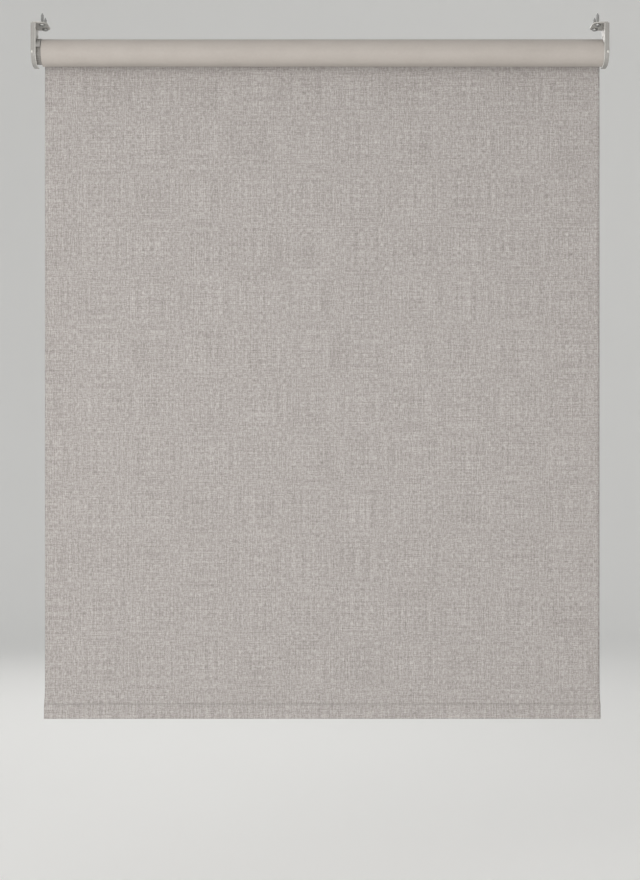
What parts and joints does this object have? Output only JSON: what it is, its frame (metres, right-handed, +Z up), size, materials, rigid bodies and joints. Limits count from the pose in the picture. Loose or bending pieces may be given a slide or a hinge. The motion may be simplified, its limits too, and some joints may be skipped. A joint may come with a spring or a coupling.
{
  "type": "roller blind",
  "caption": "Cordless spring-assisted roller blind: top-fixed brackets, fabric wound on a tube, hanging sheet with a covered bottom bar, sprung idle pin and tension dial.",
  "frame": {"origin": "on the plane of the bracket tops, midway between the two brackets and straight above the roller's axis", "axes": "+X to the right as seen from the room, along the roller; +Y towards the window; +Z up"},
  "size_m": [0.78, 0.046, 0.9607],
  "materials": {
    "painted_steel": "satin grey-white powder coat",
    "cover_plastic": "fine satin moulded plastic",
    "grey_plastic": "mid grey moulded plastic",
    "white_nylon": "natural nylon",
    "zinc_steel": "bright zinc plate",
    "spring_steel": "oiled spring wire",
    "tube_aluminium": "mill-finish extrusion",
    "fixing_tape": "double-sided tape",
    "fabric_reverse": "smooth coated back of the fabric",
    "fabric_face": "linen-look melange weave"
  },
  "bodies": {
    "brackets": {"bracket_left": "painted_steel", "bracket_right": "painted_steel", "bracket_cover_left": "cover_plastic", "bracket_cover_right": "cover_plastic", "fixing_screw_left_front": "zinc_steel", "fixing_screw_left_back": "zinc_steel", "fixing_screw_right_front": "zinc_steel", "fixing_screw_right_back": "zinc_steel", "tang_socket": "grey_plastic", "idle_bush": "grey_plastic", "spring_tang": "grey_plastic"},
    "dial_and_shaft": {"tension_dial": "grey_plastic", "ratchet_pawl": "spring_steel", "spring_shaft": "zinc_steel", "brake_hub": "zinc_steel", "spring_anchor": "white_nylon", "spring_shaft_clip": "spring_steel"},
    "roller": {"roller_tube": "tube_aluminium", "fixing_tape": "fixing_tape", "fabric_roll": "fabric_reverse", "end_bearing": "white_nylon", "brake_wrap_spring": "spring_steel", "torsion_spring": "spring_steel", "spring_drive_plug": "white_nylon", "idle_end_plug": "white_nylon", "idle_pin_guide": "grey_plastic", "idle_pin_spring": "spring_steel"},
    "idle_pin_unit": {"idle_pin": "zinc_steel", "idle_pin_clip": "spring_steel"},
    "bottom_bar_unit": {"fabric_sheet": "fabric_face", "hem_pocket": "fabric_face", "bottom_bar": "zinc_steel", "bottom_bar_cap_left": "grey_plastic", "bottom_bar_cap_right": "grey_plastic"}
  },
  "joints": [
    {"name": "blind_lift", "type": "slide", "parent": "brackets", "child": "bottom_bar_unit", "axis": [0, 0, 1], "range_m": [0, 0.863], "deforming": ["fabric_sheet"]},
    {"name": "roller_turn", "type": "hinge", "parent": "brackets", "child": "roller", "pos_m": [0, 0, -0.0385], "axis": [1, 0, 0], "range_deg": [0, 2690]},
    {"name": "tension_dial_turn", "type": "hinge", "parent": "brackets", "child": "dial_and_shaft", "pos_m": [0, 0, -0.0385], "axis": [1, 0, 0], "range_deg": [0, 1080]},
    {"name": "idle_pin_press", "type": "slide", "parent": "roller", "child": "idle_pin_unit", "axis": [-1, 0, 0], "range_m": [0, 0.005], "stiffness_N_per_m": 400, "springref_m": -0.005, "deforming": ["idle_pin_spring"]}
  ],
  "couplings": [
    {"joint": "roller_turn", "follows": "blind_lift", "rad_per_m": 54.348}
  ]
}
